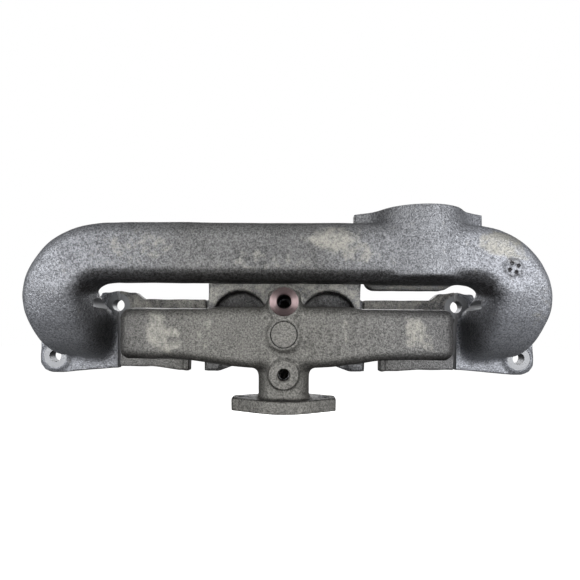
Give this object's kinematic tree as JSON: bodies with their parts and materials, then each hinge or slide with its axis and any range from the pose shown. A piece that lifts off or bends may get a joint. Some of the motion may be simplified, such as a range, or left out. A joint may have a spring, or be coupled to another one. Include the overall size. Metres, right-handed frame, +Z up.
{
  "type": "exhaust manifold",
  "caption": "Cast iron exhaust manifold looping round a bolted-in intake log, with an upward outlet flange and an updraught carburettor flange.",
  "frame": {"origin": "on the mounting face, midway between the end exhaust ports, on the port centre line", "axes": "+X along the engine towards the outlet end, +Y into the cylinder head, +Z up towards the exhaust outlet"},
  "size_m": [0.473, 0.099, 0.1665],
  "materials": {
    "exhaust_iron": "shot-blasted grey iron",
    "intake_iron": "shot-blasted grey iron",
    "gasket_board": "matt fibre board",
    "turned_steel": "turned"
  },
  "bodies": {
    "root": {"exhaust_casting": "exhaust_iron", "intake_casting": "intake_iron", "riser_gasket": "gasket_board", "stud_sleeve": "turned_steel", "core_plug": "turned_steel", "adapter_bush": "turned_steel"}
  },
  "joints": []
}
